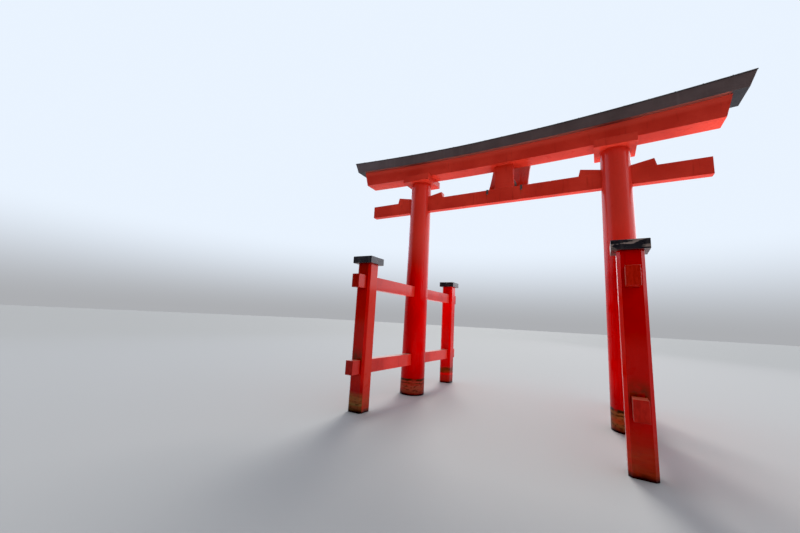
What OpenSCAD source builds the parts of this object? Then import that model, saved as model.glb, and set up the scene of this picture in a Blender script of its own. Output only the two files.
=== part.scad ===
/* [Main pillars] */
// Distance between the two pillars, centre to centre at the foot
pillar_spacing = 5500; // [4800:50:6500]
// Pillar diameter at the foot
pillar_foot_d = 730; // [600:10:850]
// Pillar diameter under its top plate
pillar_top_d = 644; // [500:2:720]
// Inward lean of the pillars and their posts, in degrees
lean_angle = 0.25; // [0:0.05:1]

/* [Top plates] */
// Side of the square plate on each pillar
plate_side = 905; // [780:5:1000]
// Thickness of that plate
plate_t = 200; // [120:5:260]

/* [Shimagi] */
// Height of the underside of the shimagi at mid span
shimagi_z = 6785; // [6500:5:7400]
// Height of the shimagi's section at mid span
shimagi_h = 434; // [340:2:520]
// Width of the shimagi, front to back
shimagi_w = 508; // [420:2:600]
// Length of the shimagi along its underside
shimagi_soffit_l = 9560; // [8800:20:10000]
// Length of the shimagi along its top
shimagi_top_l = 9820; // [9200:20:10200]
// How far the underside rises at its ends
soffit_rise = 96; // [20:2:200]
// How far the top rises at its ends
bed_rise = 164; // [40:2:300]

/* [Kasagi] */
// Height of the kasagi's front face at mid span
kasagi_h = 316; // [240:2:420]
// Width of the kasagi, front to back
kasagi_w = 746; // [620:2:900]
// Length of the kasagi along its underside
kasagi_soffit_l = 10300; // [10220:10:10700]
// Length of the kasagi along its front top edge
kasagi_top_l = 10600; // [10400:10:11000]
// How far the front top edge rises at its ends
crown_rise = 234; // [100:2:400]
// Height of the ridge above the front top edge
ridge_rise = 95; // [40:5:200]
// Length of the straight middle of both top beams
straight_l = 1200; // [800:20:2400]
// How late the upward curve of the top beams sets in
sori_power = 1.65; // [1.3:0.05:3]

/* [Nuki] */
// Height of the underside of the nuki
nuki_z = 5690; // [5200:5:5900]
// Height of the nuki's section
nuki_h = 400; // [300:5:440]
// Thickness of the nuki
nuki_t = 192; // [140:2:260]
// Length of the nuki
nuki_l = 9060; // [8400:20:9400]
// Reach of each wedge beyond the pillar's face
wedge_reach = 495; // [350:5:600]
// Height of a wedge at its blunt outer end
wedge_h = 180; // [130:2:220]
// Height of a wedge at its thin inner end
wedge_tip = 30; // [15:1:60]
// How far a wedge's blunt end leans inwards over its height
wedge_rake = 45; // [0:1:80]

/* [Centre strut] */
// Width of the strut between the nuki and the shimagi
strut_w = 510; // [400:5:620]
// Thickness of that strut
strut_t = 192; // [140:2:260]

/* [Plaque] */
// Width of the plaque at mid height
plaque_w = 1130; // [1040:10:1300]
// Length of the plaque, foot to head
plaque_l = 1400; // [1200:10:1600]
// Lean of the plaque's head away from the upright, in degrees
plaque_tilt = 30; // [20:1:40]
// Gap between the back of the nuki and the plaque's foot
plaque_setback = 190; // [120:5:260]
// Width of the plaque's frame bars
frame_w = 120; // [80:5:160]
// Thickness of the plaque's frame bars
frame_t = 90; // [60:5:130]
// Thickness of the plaque's board
board_t = 36; // [20:2:50]
// How far the frame's side bars flare at their ends
frame_flare = 30; // [0:5:90]
// Width of the two battens up the back of the plaque
batten_w = 50; // [30:5:80]
// Thickness of those battens
batten_t = 14; // [8:1:24]
// Distance of each batten from the middle of the plaque
batten_x = 325; // [300:5:380]
// Distance of the battens' ends from the plaque's foot and head
batten_inset = 40; // [20:5:80]

/* [Plaque irons] */
// Width of the iron hooks that carry the plaque's foot
hook_w = 56; // [40:2:90]
// Thickness of the hook iron
hook_t = 12; // [8:1:18]
// Distance of each hook from the middle of the gate
hook_x = 480; // [400:5:520]
// Length of the hook's leg down the front of the nuki
hook_leg = 130; // [100:5:250]
// Height of the lip that keeps the plaque's foot on the hook
hook_lip = 50; // [30:2:80]
// Depth of the flat irons that hold the plaque from behind
stay_h = 110; // [80:5:120]
// Thickness of those irons
stay_t = 16; // [10:1:25]
// Height of the lower irons above the nuki
stay_low_z = 180; // [120:5:220]

/* [Posts] */
// Distance between the front and back posts of one side
post_spacing = 5320; // [4600:20:6000]
// Side of each square post
post_side = 394; // [320:2:460]
// Chamfer along the corners of a post
post_chamfer = 53; // [20:1:80]
// Height of a post under its cap
post_h = 3520; // [3360:10:4000]
// Side of the cap on each post
cap_side = 550; // [480:5:640]
// Thickness of that cap at its edge
cap_t = 168; // [100:2:220]
// Rise of the cap's top from its edge to its middle
cap_pitch = 40; // [10:5:90]

/* [Tie beams] */
// Width of the tie beams through posts and pillar
tie_w = 206; // [150:2:260]
// Height of the tie beams' section
tie_h = 325; // [240:5:380]
// Height of the underside of the upper tie beams
upper_tie_z = 2900; // [2400:10:2940]
// Height of the underside of the lower tie beams
lower_tie_z = 870; // [500:10:1200]
// Reach of a tie beam beyond the post's face
tie_reach = 284; // [150:2:400]

/* [Fits] */
// Clearance beside a beam in its mortise
joint_gap = 0.3; // [0.2:0.1:0.8]

/* [Hidden] */
$fn = 96;

VERMILION = [0.78, 0.09, 0.04];
BLACK = [0.10, 0.09, 0.10];
IRON = [0.22, 0.24, 0.22];
LEFT = -1;
RIGHT = 1;
FRONT = -1;
BACK = 1;
// Stations along each half of the top beams
STATIONS = 20;
// Points along each flared edge of the plaque's frame
FLARE_POINTS = 8;
// Margin by which a cutter passes through what it cuts
THROUGH = 50;

nuki_top = nuki_z + nuki_h;
// The plate's top meets the rising underside of the shimagi at the plate's outer edge
pillar_x = pillar_spacing / 2;
plate_top = soffit(pillar_x + plate_side / 2);
pillar_h = plate_top - plate_t;
pillar_top_x = pillar_x - tan(lean_angle) * pillar_h;
nuki_pillar_x = pillar_x - tan(lean_angle) * nuki_top;
nuki_pillar_r = pillar_radius(nuki_top);
wedge_outer = nuki_pillar_r + wedge_reach;
plaque_foot_y = nuki_t / 2 + plaque_setback;
plaque_foot_z = nuki_top + hook_t;
frame_inner_w = plaque_w - 2 * frame_w;
frame_inner_l = plaque_l - 2 * frame_w;
// Height of the middle of the plaque's head bar, on its back
head_bar_z = plaque_foot_z + (plaque_l - frame_w / 2) * cos(plaque_tilt);
tie_l = post_spacing + post_side + 2 * tie_reach;

function pillar_radius(z) = (pillar_foot_d + (pillar_top_d - pillar_foot_d) * z / pillar_h) / 2;
function sori(x, half, rise) =
    rise * pow(max(0, abs(x) - straight_l / 2) / (half - straight_l / 2), sori_power);
function soffit(x) = shimagi_z + sori(x, shimagi_soffit_l / 2, soffit_rise);
function bed(x) = shimagi_z + shimagi_h + sori(x, shimagi_top_l / 2, bed_rise);
function crown(x) = shimagi_z + shimagi_h + kasagi_h + sori(x, kasagi_top_l / 2, crown_rise);
// Depth of the plaque's back face at a height z
function plaque_back_y(z) = plaque_foot_y + (z - plaque_foot_z) * tan(plaque_tilt);

// One leg of the gate: what it holds leans inwards about the pillar's foot
module on_leg(side) {
    translate([side * pillar_x, 0, 0]) rotate([0, -side * lean_angle, 0]) children();
}

// Everything from the waterline up to a height
module up_to(height) {
    reach = 2 * kasagi_top_l;
    translate([-reach / 2, -reach / 2, 0]) cube([reach, reach, height]);
}

// Extrudes a front-view outline from front to back
module front_profile(depth) {
    rotate([90, 0, 0]) linear_extrude(height = depth, center = true) children();
}

// Extrudes a side-view outline from left to right
module side_profile(width) {
    rotate([90, 0, 90]) linear_extrude(height = width, center = true) children();
}

// Section of a tie beam, with a clearance beside it where it is a mortise
module tie_bar(z, length, gap) {
    translate([-tie_w / 2 - gap, -length / 2, z]) cube([tie_w + 2 * gap, length, tie_h + gap]);
}

module tie_mortises() {
    for (z = [upper_tie_z, lower_tie_z]) tie_bar(z, tie_l, joint_gap);
}

// Front view of the nuki with its four wedges, as the pillars' mortises take it
module wedge_outline(side, outward, gap) {
    end = nuki_pillar_x + outward * wedge_outer;
    polygon([
        [side * nuki_pillar_x, nuki_top],
        [side * end, nuki_top],
        [side * (end - outward * wedge_rake), nuki_top + wedge_h + gap],
        [side * nuki_pillar_x, nuki_top + wedge_tip + gap]
    ]);
}

module nuki_mortise(side) {
    front_profile(nuki_t + 2 * joint_gap) {
        for (outward = [-1, 1]) wedge_outline(side, outward, joint_gap);
        translate([side * nuki_pillar_x - pillar_foot_d, nuki_z]) square([2 * pillar_foot_d, nuki_h]);
    }
}

module pillar(side) {
    color(VERMILION) difference() {
        intersection() {
            on_leg(side) translate([0, 0, -THROUGH])
                cylinder(h = pillar_h + 2 * THROUGH, r1 = pillar_radius(-THROUGH),
                         r2 = pillar_radius(pillar_h + THROUGH));
            up_to(pillar_h);
        }
        on_leg(side) tie_mortises();
        nuki_mortise(side);
    }
}

module left_pillar() { pillar(LEFT); }
module right_pillar() { pillar(RIGHT); }

module top_plate(side) {
    color(VERMILION) translate([side * pillar_top_x - plate_side / 2, -plate_side / 2, pillar_h])
        cube([plate_side, plate_side, plate_t]);
}

module left_top_plate() { top_plate(LEFT); }
module right_top_plate() { top_plate(RIGHT); }

// Lower of the two top beams, housed over the plates
module shimagi() {
    soffit_step = shimagi_soffit_l / 2 / STATIONS;
    bed_step = shimagi_top_l / 2 / STATIONS;
    color(VERMILION) difference() {
        front_profile(shimagi_w) polygon(concat(
            [for (i = [-STATIONS:STATIONS]) [i * soffit_step, soffit(i * soffit_step)]],
            [for (i = [STATIONS:-1:-STATIONS]) [i * bed_step, bed(i * bed_step)]]
        ));
        top_plate(LEFT);
        top_plate(RIGHT);
    }
}

// Section of the kasagi: underside, front and back faces, and two slopes to a ridge
function kasagi_ring(bottom_x, top_x, ridge_x, bottom_z, top_z) = [
    [bottom_x, -kasagi_w / 2, bottom_z],
    [bottom_x, kasagi_w / 2, bottom_z],
    [top_x, kasagi_w / 2, top_z],
    [ridge_x, 0, top_z + ridge_rise],
    [top_x, -kasagi_w / 2, top_z]
];

// The kasagi's ends lean outwards from the underside to the ridge
function kasagi_end(side) =
    let (bottom_x = kasagi_soffit_l / 2, top_x = kasagi_top_l / 2,
         bottom_z = bed(bottom_x), top_z = crown(top_x),
         ridge_x = top_x + ridge_rise * (top_x - bottom_x) / (top_z - bottom_z))
    kasagi_ring(side * bottom_x, side * top_x, side * ridge_x, bottom_z, top_z);

module kasagi() {
    step = shimagi_top_l / 2 / STATIONS;
    rings = concat(
        [kasagi_end(LEFT)],
        [for (i = [-STATIONS:STATIONS]) kasagi_ring(i * step, i * step, i * step, bed(i * step), crown(i * step))],
        [kasagi_end(RIGHT)]
    );
    corners = len(rings[0]);
    last = (len(rings) - 1) * corners;
    sides = [for (k = [0:len(rings) - 2]) for (j = [0:corners - 1])
        let (a = k * corners + j, b = k * corners + (j + 1) % corners)
        each [[a, b, b + corners], [a, b + corners, a + corners]]];
    start_cap = [for (j = [1:corners - 2]) [0, j + 1, j]];
    end_cap = [for (j = [1:corners - 2]) [last, last + j, last + j + 1]];
    color(BLACK) polyhedron(points = [for (ring = rings) each ring], faces = concat(sides, start_cap, end_cap));
}

module nuki() {
    color(VERMILION) translate([-nuki_l / 2, -nuki_t / 2, nuki_z]) cube([nuki_l, nuki_t, nuki_h]);
}

// A wedge stops short of the pillar's axis, where its opposite number ends too
module nuki_wedge(side, outward) {
    color(VERMILION) difference() {
        front_profile(nuki_t) wedge_outline(side, outward, 0);
        translate([side * nuki_pillar_x, 0, nuki_top + wedge_h / 2])
            cube([2 * wedge_tip, nuki_t + THROUGH, wedge_h + THROUGH], center = true);
    }
}

module left_outer_wedge() { nuki_wedge(LEFT, 1); }
module left_inner_wedge() { nuki_wedge(LEFT, -1); }
module right_inner_wedge() { nuki_wedge(RIGHT, -1); }
module right_outer_wedge() { nuki_wedge(RIGHT, 1); }

module centre_strut() {
    color(VERMILION) translate([-strut_w / 2, -strut_t / 2, nuki_top])
        cube([strut_w, strut_t, shimagi_z - nuki_top]);
}

// Places a piece of the plaque drawn flat: X across, Y up the plaque, Z out from its back
module on_plaque() {
    translate([0, plaque_foot_y, plaque_foot_z]) rotate([90 - plaque_tilt, 0, 0])
        mirror([0, 0, 1]) children();
}

// Half width of the frame's side bars at a share t of the plaque's length
function flare(t) = plaque_w / 2 + frame_flare * pow(abs(2 * t - 1), 3);

module plaque_outline() {
    polygon(concat(
        [for (i = [0:FLARE_POINTS]) let (t = i / FLARE_POINTS) [flare(t), t * plaque_l]],
        [for (i = [FLARE_POINTS:-1:0]) let (t = i / FLARE_POINTS) [-flare(t), t * plaque_l]]
    ));
}

module plaque_board() {
    color(VERMILION) on_plaque() translate([-frame_inner_w / 2 + joint_gap, frame_w + joint_gap, 0])
        cube([frame_inner_w - 2 * joint_gap, frame_inner_l - 2 * joint_gap, board_t]);
}

module plaque_frame() {
    color(VERMILION) on_plaque() difference() {
        linear_extrude(height = frame_t) plaque_outline();
        translate([-frame_inner_w / 2, frame_w, -THROUGH])
            cube([frame_inner_w, frame_inner_l, frame_t + 2 * THROUGH]);
    }
}

// Batten over the back of the frame and the board, which it holds together
module batten(side) {
    color(VERMILION) on_plaque() translate([side * batten_x - batten_w / 2, batten_inset, -batten_t])
        cube([batten_w, plaque_l - 2 * batten_inset, batten_t]);
}

module left_batten() { batten(LEFT); }
module right_batten() { batten(RIGHT); }

// Flat iron: down the front of the nuki, over its top, and under the plaque's foot with a lip
module plaque_hook(side) {
    front = -nuki_t / 2;
    seat = frame_t + joint_gap;
    down = [cos(plaque_tilt), -sin(plaque_tilt)];
    up = [sin(plaque_tilt), cos(plaque_tilt)];
    foot = [plaque_foot_y, plaque_foot_z];
    heel = [plaque_foot_y, nuki_top];
    color(IRON) translate([side * hook_x, 0, 0]) side_profile(hook_w) polygon([
        [front - hook_t, nuki_top - hook_leg],
        [front, nuki_top - hook_leg],
        [front, nuki_top],
        heel,
        heel + (seat + hook_t) * down,
        foot + (seat + hook_t) * down + hook_lip * up,
        foot + seat * down + hook_lip * up,
        foot + seat * down,
        foot,
        [front - hook_t, nuki_top + hook_t]
    ]);
}

module left_plaque_hook() { plaque_hook(LEFT); }
module right_plaque_hook() { plaque_hook(RIGHT); }

// Flat iron between a beam's back and the plaque's back, from one height to another
module plaque_stay(side, beam_back, beam_z, plaque_z) {
    color(IRON) translate([side * (strut_w - stay_t) / 2, 0, 0]) side_profile(stay_t) polygon([
        [beam_back, beam_z], [plaque_back_y(plaque_z), plaque_z],
        [plaque_back_y(plaque_z + stay_h), plaque_z + stay_h], [beam_back, beam_z + stay_h]
    ]);
}

// Lower irons run level from the strut, upper irons rise from the shimagi to the plaque's head bar
module lower_stay(side) {
    level = nuki_top + stay_low_z;
    plaque_stay(side, strut_t / 2, level, level);
}

module upper_stay(side) {
    beam_z = shimagi_z + (shimagi_h - stay_h) / 2;
    plaque_stay(side, shimagi_w / 2, beam_z, head_bar_z - stay_h / 2);
}

module left_lower_stay() { lower_stay(LEFT); }
module right_lower_stay() { lower_stay(RIGHT); }
module left_upper_stay() { upper_stay(LEFT); }
module right_upper_stay() { upper_stay(RIGHT); }

// Square outline with cut corners
module post_outline() {
    half = post_side / 2;
    inner = half - post_chamfer;
    polygon([
        [half, -inner], [half, inner], [inner, half], [-inner, half],
        [-half, inner], [-half, -inner], [-inner, -half], [inner, -half]
    ]);
}

module post(side, end) {
    color(VERMILION) difference() {
        intersection() {
            on_leg(side) translate([0, end * post_spacing / 2, -THROUGH])
                linear_extrude(height = post_h + THROUGH) post_outline();
            up_to(2 * post_h);
        }
        on_leg(side) tie_mortises();
    }
}

module left_front_post() { post(LEFT, FRONT); }
module left_back_post() { post(LEFT, BACK); }
module right_front_post() { post(RIGHT, FRONT); }
module right_back_post() { post(RIGHT, BACK); }

// Outline of a cap from one side, with its top pitched to the middle
module cap_outline() {
    half = cap_side / 2;
    polygon([[-half, 0], [half, 0], [half, cap_t], [0, cap_t + cap_pitch], [-half, cap_t]]);
}

module post_cap(side, end) {
    color(BLACK) on_leg(side) translate([0, end * post_spacing / 2, post_h]) intersection() {
        front_profile(cap_side) cap_outline();
        side_profile(cap_side) cap_outline();
    }
}

module left_front_cap() { post_cap(LEFT, FRONT); }
module left_back_cap() { post_cap(LEFT, BACK); }
module right_front_cap() { post_cap(RIGHT, FRONT); }
module right_back_cap() { post_cap(RIGHT, BACK); }

module tie_beam(side, z) {
    color(VERMILION) on_leg(side) tie_bar(z, tie_l, 0);
}

module left_upper_tie() { tie_beam(LEFT, upper_tie_z); }
module left_lower_tie() { tie_beam(LEFT, lower_tie_z); }
module right_upper_tie() { tie_beam(RIGHT, upper_tie_z); }
module right_lower_tie() { tie_beam(RIGHT, lower_tie_z); }

left_pillar();
right_pillar();
left_top_plate();
right_top_plate();
shimagi();
kasagi();
nuki();
left_outer_wedge();
left_inner_wedge();
right_inner_wedge();
right_outer_wedge();
centre_strut();
plaque_board();
plaque_frame();
left_batten();
right_batten();
left_plaque_hook();
right_plaque_hook();
left_lower_stay();
right_lower_stay();
left_upper_stay();
right_upper_stay();
left_front_post();
left_back_post();
right_front_post();
right_back_post();
left_front_cap();
left_back_cap();
right_front_cap();
right_back_cap();
left_upper_tie();
left_lower_tie();
right_upper_tie();
right_lower_tie();
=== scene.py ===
import math
from collections import Counter

import bpy
from mathutils import Matrix, Vector


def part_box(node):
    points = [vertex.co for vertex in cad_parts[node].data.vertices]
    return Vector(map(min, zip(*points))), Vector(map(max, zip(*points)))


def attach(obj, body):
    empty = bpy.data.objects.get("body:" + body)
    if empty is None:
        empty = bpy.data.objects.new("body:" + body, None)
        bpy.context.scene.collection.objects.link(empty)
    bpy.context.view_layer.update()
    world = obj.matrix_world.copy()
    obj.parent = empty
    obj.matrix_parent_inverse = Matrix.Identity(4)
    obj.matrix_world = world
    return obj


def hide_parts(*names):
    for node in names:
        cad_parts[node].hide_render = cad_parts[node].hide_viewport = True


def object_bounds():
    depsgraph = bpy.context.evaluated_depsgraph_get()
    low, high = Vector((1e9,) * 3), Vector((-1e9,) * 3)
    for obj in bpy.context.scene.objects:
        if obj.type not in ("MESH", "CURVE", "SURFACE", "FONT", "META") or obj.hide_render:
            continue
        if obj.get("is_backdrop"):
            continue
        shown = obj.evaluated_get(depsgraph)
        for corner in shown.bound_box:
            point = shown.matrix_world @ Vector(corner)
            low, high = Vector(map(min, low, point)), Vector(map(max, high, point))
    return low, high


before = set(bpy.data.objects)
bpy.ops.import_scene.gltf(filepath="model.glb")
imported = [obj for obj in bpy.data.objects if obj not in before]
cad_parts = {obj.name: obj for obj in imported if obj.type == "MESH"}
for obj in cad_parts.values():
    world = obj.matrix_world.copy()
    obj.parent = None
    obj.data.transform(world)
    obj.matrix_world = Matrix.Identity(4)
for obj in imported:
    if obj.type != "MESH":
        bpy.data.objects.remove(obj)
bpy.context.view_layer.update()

# The two main pillars carry everything. Each is one round timber, tapered and leaning slightly
# inwards, under many coats of gloss vermilion. Their feet stand wet, and are stained by silt.


def put(tree, socket, value):
    """Sets a shader socket to a number or a colour, or links it to another node's output."""
    if isinstance(value, bpy.types.NodeSocket):
        tree.links.new(value, socket)
    elif socket.type == "RGBA":
        socket.default_value = (*value, 1.0)
    else:
        socket.default_value = value


def mottle(tree, scale, stretch=(1, 1, 1), detail=3.0, shift=0.0):
    """Noise over the piece, mostly 0.3 to 0.7. A small stretch value draws it out along that axis,
    and each shift gives another noise."""
    spot = tree.nodes.new("ShaderNodeTexCoord")
    mapping = tree.nodes.new("ShaderNodeMapping")
    put(tree, mapping.inputs["Vector"], spot.outputs["Object"])
    put(tree, mapping.inputs["Location"], (shift, 0.7 * shift, 1.3 * shift))
    put(tree, mapping.inputs["Scale"], stretch)
    noise = tree.nodes.new("ShaderNodeTexNoise")
    put(tree, noise.inputs["Vector"], mapping.outputs["Vector"])
    put(tree, noise.inputs["Scale"], scale)
    put(tree, noise.inputs["Detail"], detail)
    return noise.outputs["Fac"]


def drawn_out(axis):
    """The stretch that draws a noise out into streaks along one axis."""
    return {"X": (0.02, 1, 1), "Y": (1, 0.02, 1), "Z": (1, 1, 0.02)}[axis]


def level(tree, value, low, high, start=0.0, end=1.0):
    """Turns low to high into start to end, with soft ends."""
    span = tree.nodes.new("ShaderNodeMapRange")
    span.interpolation_type = "SMOOTHSTEP"
    for socket, amount in zip(span.inputs, (value, low, high, start, end)):
        put(tree, socket, amount)
    return span.outputs["Result"]


def fade(tree, value, low, high, strength=1.0):
    """A share that falls from its strength at low to nothing at high."""
    return level(tree, value, low, high, strength, 0.0)


def reckon(tree, operation, first, second=0.0):
    """One step of arithmetic between sockets or numbers."""
    step = tree.nodes.new("ShaderNodeMath")
    step.operation = operation
    put(tree, step.inputs[0], first)
    put(tree, step.inputs[1], second)
    return step.outputs[0]


def together(tree, share, *others):
    """The product of two or more shares."""
    for other in others:
        share = reckon(tree, "MULTIPLY", share, other)
    return share


def blend(tree, share, under, over):
    """Lays the colour over on the colour under, by a share from 0 to 1."""
    mix = tree.nodes.new("ShaderNodeMix")
    mix.data_type = "RGBA"
    put(tree, mix.inputs[0], share)
    put(tree, mix.inputs[6], under)
    put(tree, mix.inputs[7], over)
    return mix.outputs[2]


def axis_of(tree, vector, axis):
    """The X, Y or Z part of a vector."""
    parts = tree.nodes.new("ShaderNodeSeparateXYZ")
    put(tree, parts.inputs[0], vector)
    return parts.outputs[axis]


def object_axis(tree, axis):
    """Where a spot lies along one axis of the gate, in metres."""
    return axis_of(tree, tree.nodes.new("ShaderNodeTexCoord").outputs["Object"], axis)


def away_from(tree, value, mark):
    """How far a value lies from a mark, either way."""
    return reckon(tree, "ABSOLUTE", reckon(tree, "SUBTRACT", value, mark))


def by_side(tree, left, right):
    """One number on the left legs and another on the right ones."""
    return level(tree, object_axis(tree, "X"), -1.0, 1.0, left, right)


def facing_share(tree, axis, low, high):
    """How far a spot faces along an axis of the gate: 0 at low, 1 at high."""
    normal = tree.nodes.new("ShaderNodeNewGeometry").outputs["Normal"]
    return level(tree, axis_of(tree, normal, axis), low, high)


def upper_side(tree):
    """1 on what looks up at the sky."""
    return facing_share(tree, "Z", 0.60, 0.95)


def emboss(tree, shader, height, depth, under=None):
    """Raises the surface by height times depth, in metres, over an earlier relief."""
    bump = tree.nodes.new("ShaderNodeBump")
    put(tree, bump.inputs["Height"], height)
    put(tree, bump.inputs["Distance"], depth)
    if under is not None:
        put(tree, bump.inputs["Normal"], under)
    put(tree, shader.inputs["Normal"], bump.outputs["Normal"])
    return bump.outputs["Normal"]


def new_finish(name):
    """A fresh material, with its node tree and its shader."""
    finish = bpy.data.materials.new(name)
    finish.use_nodes = True
    return finish, finish.node_tree, finish.node_tree.nodes["Principled BSDF"]


RAIN_RUN = (0.150, 0.0060, 0.0040)
RUN_STRETCH = {"X": 0.14, "Y": 0.14, "Z": 0.03}
SPECK = (0.070, 0.0100, 0.0060)
CHALK_AND_SUN_GLARE = (0.740, 0.4000, 0.3100)
WAVE_DEPTH = 0.003
BRUSH_DEPTH = 0.0004
GRIT_DEPTH = 0.0002
CRUST_DEPTH = 0.004


def vermilion(name, brushed, body, deep, gloss, soil_and_light=None):
    """Gloss vermilion paint on timber, brushed along one axis. Rain has drawn faint dirty runs down
    it. What looks up at the sky is paler: chalky paint, with a painted sun glare on it. gloss is the
    share of its clear coat that is left. soil_and_light lays what is special to the piece's own place
    over the colour, stains and painted light or shade alike, and gives the share of the surface that
    is caked with dirt, or None."""
    finish, tree, shader = new_finish(name)
    tone = level(tree, mottle(tree, 0.9, detail=5.0, shift=1.0), 0.34, 0.66)
    colour = blend(tree, tone, deep, body)
    brush = mottle(tree, 85.0, drawn_out(brushed), shift=5.0)
    colour = blend(tree, level(tree, brush, 0.45, 0.72, end=0.20), colour, deep)
    runs = mottle(tree, 14.0, (1, 1, RUN_STRETCH[brushed]), detail=4.0, shift=7.0)
    colour = blend(tree, level(tree, runs, 0.56, 0.76, end=0.26), colour, RAIN_RUN)
    specks = mottle(tree, 95.0, detail=1.0, shift=8.0)
    colour = blend(tree, level(tree, specks, 0.71, 0.76, end=0.5), colour, SPECK)
    # What looks up is painted paler: chalky paint, and a painted sun glare.
    chalk_and_glare = together(tree, upper_side(tree), level(tree, tone, 0.0, 1.0, 0.50, 0.90))
    colour = blend(tree, chalk_and_glare, colour, CHALK_AND_SUN_GLARE)
    rough = level(tree, mottle(tree, 3.5, detail=5.0, shift=2.0), 0.3, 0.7, 0.26, 0.40)
    rough = reckon(tree, "ADD", rough, together(tree, chalk_and_glare, 0.30))
    dirt = None
    coat = gloss
    if soil_and_light is not None:
        colour, dirt = soil_and_light(tree, colour)
    if dirt is not None:
        coat = level(tree, dirt, 0.0, 1.0, gloss, 0.2 * gloss)
    put(tree, shader.inputs["Base Color"], colour)
    put(tree, shader.inputs["Roughness"], rough)
    put(tree, shader.inputs["Specular IOR Level"], 0.04)
    put(tree, shader.inputs["Coat Weight"], coat)
    put(tree, shader.inputs["Coat IOR"], 1.3)
    put(tree, shader.inputs["Coat Roughness"], 0.10)
    waves = mottle(tree, 2.2, detail=2.0, shift=3.0)
    strokes = mottle(tree, 8.0, drawn_out(brushed), detail=1.0, shift=9.0)
    grit = mottle(tree, 170.0, detail=1.0)
    relief = emboss(tree, shader, waves, WAVE_DEPTH)
    for height, depth in ((strokes, WAVE_DEPTH), (brush, BRUSH_DEPTH), (grit, GRIT_DEPTH)):
        relief = emboss(tree, shader, height, depth, relief)
    if dirt is not None:
        crust = together(tree, dirt, mottle(tree, 60.0, (1, 1, 1.5), detail=5.0, shift=3.0))
        emboss(tree, shader, crust, CRUST_DEPTH, relief)
    return finish


STAIN_WANDER = 0.14
DAMP_RED = (0.250, 0.0010, 0.0010)
DAMP_FOOT = 0.4
BLOTCH = (0.022, 0.0110, 0.0060)
WATER_MARK = (0.016, 0.0100, 0.0040)
WET_RED = (0.030, 0.0050, 0.0060)
WET_H = (0.02, 0.20)
FOOT_BLACK_EDGE = (0.008, 0.0060, 0.0060)
FOOT_EDGE_H = (0.012, 0.065)


def stain_height(tree):
    """The height above the waterline, wandering a little, as the edge of a stain does."""
    ripple = reckon(tree, "SUBTRACT", mottle(tree, 2.3, shift=4.0), 0.5)
    return reckon(tree, "ADD", object_axis(tree, "Z"), together(tree, ripple, STAIN_WANDER))


def foot_soil(tree, colour, damp, film, full, top, cover, marks):
    """The dirt on the wet foot of a piece: paint gone dark with damp up to the height damp, a film
    of silt and algae that thickens from the height top down to full, dark lines where water has
    stood, and a black edge along the very foot. cover is how much of all this has settled, and
    marks gives the height, half width and strength of each line."""
    height = stain_height(tree)
    damp_share = together(tree, fade(tree, height, DAMP_FOOT, damp, 0.78), cover)
    colour = blend(tree, damp_share, colour, DAMP_RED)
    patches = mottle(tree, 1.0, (1.3, 1.3, 12), detail=4.0, shift=9.0)
    patches = level(tree, patches, 0.36, 0.60, 0.60, 1.0)
    share = together(tree, fade(tree, height, full, top), patches, cover)
    colour = blend(tree, share, colour, film)
    blotches = mottle(tree, 9.0, (1, 1, 2.4), detail=5.0, shift=2.0)
    blotches = level(tree, blotches, 0.50, 0.64, end=0.7)
    colour = blend(tree, together(tree, share, blotches), colour, BLOTCH)
    broken = level(tree, mottle(tree, 5.0, (1, 1, 0.4), shift=6.0), 0.36, 0.52, 0.45, 1.0)
    for mark, half, strength in marks:
        line = fade(tree, away_from(tree, height, mark), 0.4 * half, half, strength)
        colour = blend(tree, together(tree, line, broken), colour, WATER_MARK)
    wet = together(tree, fade(tree, height, *WET_H, 0.65), reckon(tree, "MAXIMUM", cover, 0.3))
    colour = blend(tree, wet, colour, WET_RED)
    colour = blend(tree, fade(tree, height, *FOOT_EDGE_H, 0.95), colour, FOOT_BLACK_EDGE)
    return colour, share


PILLAR_RED = (0.680, 0.0030, 0.0022)
PILLAR_DEEP = (0.520, 0.0016, 0.0014)
PILLAR_PALE_TOP = (0.660, 0.0700, 0.0500)
PALE_TOP_H = (3.3, 4.8)
# The left pillar's outer side is painted darker: painted shade.
PILLAR_SHADED = (0.300, 0.0014, 0.0014)
SHADED_H = (1.0, 5.5)
PILLAR_SILT = (0.200, 0.0420, 0.0260)
PILLAR_ALGAE = (0.185, 0.0640, 0.0220)
PILLAR_MARKS = ((0.45, 0.045, 0.95), (0.35, 0.024, 0.7))
PILLAR_GLOSS = 0.6
PILLAR_EDGE = 0.006


def pillar_soil_and_shade(tree, colour):
    """Brown silt on the left pillar, with a little more algae in it on the right one. The upper half
    is a little paler, and the left pillar's outer side is painted darker, as painted shade."""
    height = object_axis(tree, "Z")
    colour = blend(tree, level(tree, height, *PALE_TOP_H, end=0.6), colour, PILLAR_PALE_TOP)
    shaded = together(
        tree,
        facing_share(tree, "X", 0.90, -0.20),
        level(tree, height, *SHADED_H, 0.65, 0.15),
        by_side(tree, 1.0, 0.0),
    )
    colour = blend(tree, shaded, colour, PILLAR_SHADED)
    film = blend(tree, by_side(tree, 0.0, 1.0), PILLAR_SILT, PILLAR_ALGAE)
    return foot_soil(
        tree, colour, damp=1.5, film=film, full=0.41, top=0.46, cover=0.96, marks=PILLAR_MARKS)


def select_only(piece):
    """Makes one piece the selected and active one."""
    bpy.ops.object.select_all(action="DESELECT")
    piece.select_set(True)
    bpy.context.view_layer.objects.active = piece


CORNER_GAP = 0.00002
FLAT_ANGLE = math.radians(0.1)
EDGE_ANGLE = math.radians(28)


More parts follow.
